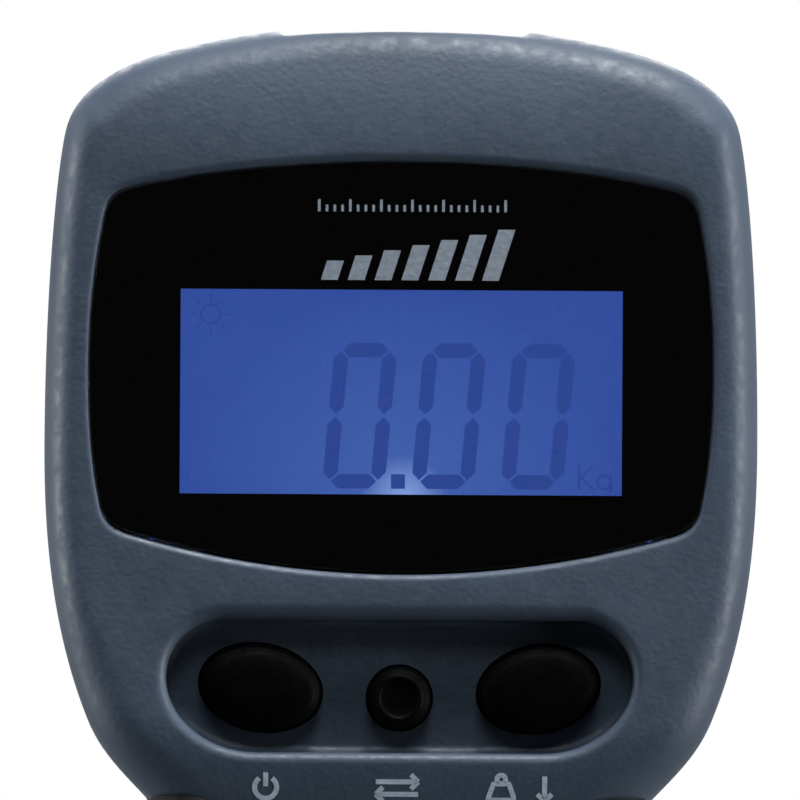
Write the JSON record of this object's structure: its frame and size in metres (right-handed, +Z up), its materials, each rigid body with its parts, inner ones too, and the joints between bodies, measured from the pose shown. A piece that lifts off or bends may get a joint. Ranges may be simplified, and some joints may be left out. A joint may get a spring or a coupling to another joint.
{
  "type": "hand pull dynamometer",
  "caption": "Hand-held digital pull dynamometer: a display head with keys, a slim rubber-sided grip and a swivelling load hook.",
  "frame": {"origin": "middle of the hand grip, on the load line, in the plane where the two shells part", "axes": "+Z up along the load line towards the display head, +Y towards the back, the display faces -Y"},
  "size_m": [0.074, 0.033, 0.2323],
  "materials": {
    "housing": "leather grain",
    "pads": "ribbed, matt",
    "lens": "polished acrylic",
    "mask": "printed film",
    "lcd": "blue negative display, lit",
    "white_plastic": "moulded",
    "light_guide": "clear acrylic",
    "led": "diffused",
    "contact_rubber": "layered",
    "circuit_board": "solder resist",
    "chip": "moulded",
    "small_parts": "ceramic and tinned",
    "gold_pads": "gold flashed",
    "mat": "silicone",
    "key_rubber": "silicone, matt",
    "carbon": "carbon filled",
    "zinc_steel": "zinc plated",
    "spring_steel": "nickel plated",
    "battery": "plain wrapper",
    "cell_alloy": "anodised",
    "gauge_foil": "foil on polyimide",
    "cable_jacket": "soft jacket",
    "stainless": "polished",
    "nylon": "natural",
    "foam": "closed cell"
  },
  "bodies": {
    "housing": {"front_shell": "housing", "rear_shell": "housing", "left_grip_pad": "pads", "right_grip_pad": "pads", "window_lens": "lens", "window_mask": "mask", "lcd_cell": "lcd", "lcd_frame": "white_plastic", "backlight_panel": "light_guide", "backlight_led": "led", "zebra_strip": "contact_rubber", "main_board": "circuit_board", "controller_chip": "chip", "amplifier_chip": "chip", "board_parts": "small_parts", "cell_connector": "white_plastic", "key_contacts": "gold_pads", "keypad_mat": "mat", "board_screws": "zinc_steel", "case_screws": "zinc_steel", "bridge_plate": "spring_steel", "supply_plates": "spring_steel", "battery_springs": "spring_steel", "upper_battery": "battery", "lower_battery": "battery", "anchor_bracket": "zinc_steel", "anchor_bolt": "zinc_steel", "load_cell": "cell_alloy", "strain_gauges": "gauge_foil", "cell_cable": "cable_jacket", "load_rod": "stainless", "rod_bush": "key_rubber"},
    "power_key": {"power_key": "key_rubber", "power_pill": "carbon"},
    "unit_key": {"unit_key": "key_rubber", "unit_pill": "carbon"},
    "mode_key": {"mode_key": "key_rubber", "mode_pill": "carbon"},
    "battery_door": {"battery_door": "housing", "door_pad": "foam"},
    "yoke": {"swivel_yoke": "stainless", "hook_pin": "stainless", "eye_spacers": "nylon"},
    "hook": {"load_hook": "stainless"}
  },
  "joints": [
    {"name": "power_press", "type": "slide", "parent": "housing", "child": "power_key", "axis": [0, 1, 0], "range_m": [0, 0.001], "stiffness_N_per_m": 400, "springref_m": -0.0004},
    {"name": "unit_press", "type": "slide", "parent": "housing", "child": "unit_key", "axis": [0, 1, 0], "range_m": [0, 0.001], "stiffness_N_per_m": 400, "springref_m": -0.0004},
    {"name": "mode_press", "type": "slide", "parent": "housing", "child": "mode_key", "axis": [0, 1, 0], "range_m": [0, 0.001], "stiffness_N_per_m": 400, "springref_m": -0.0004},
    {"name": "door_turn", "type": "hinge", "parent": "housing", "child": "battery_door", "pos_m": [0, 0.0151, 0.0752], "axis": [-1, 0, 0], "range_deg": [0, 85]},
    {"name": "yoke_swivel", "type": "hinge", "parent": "housing", "child": "yoke", "pos_m": [0, 0, -0.0565], "axis": [0, 0, 1], "continuous": true},
    {"name": "hook_swing", "type": "hinge", "parent": "yoke", "child": "hook", "pos_m": [0, 0, -0.0691], "axis": [0, 1, 0], "range_deg": [-80, 80]}
  ]
}
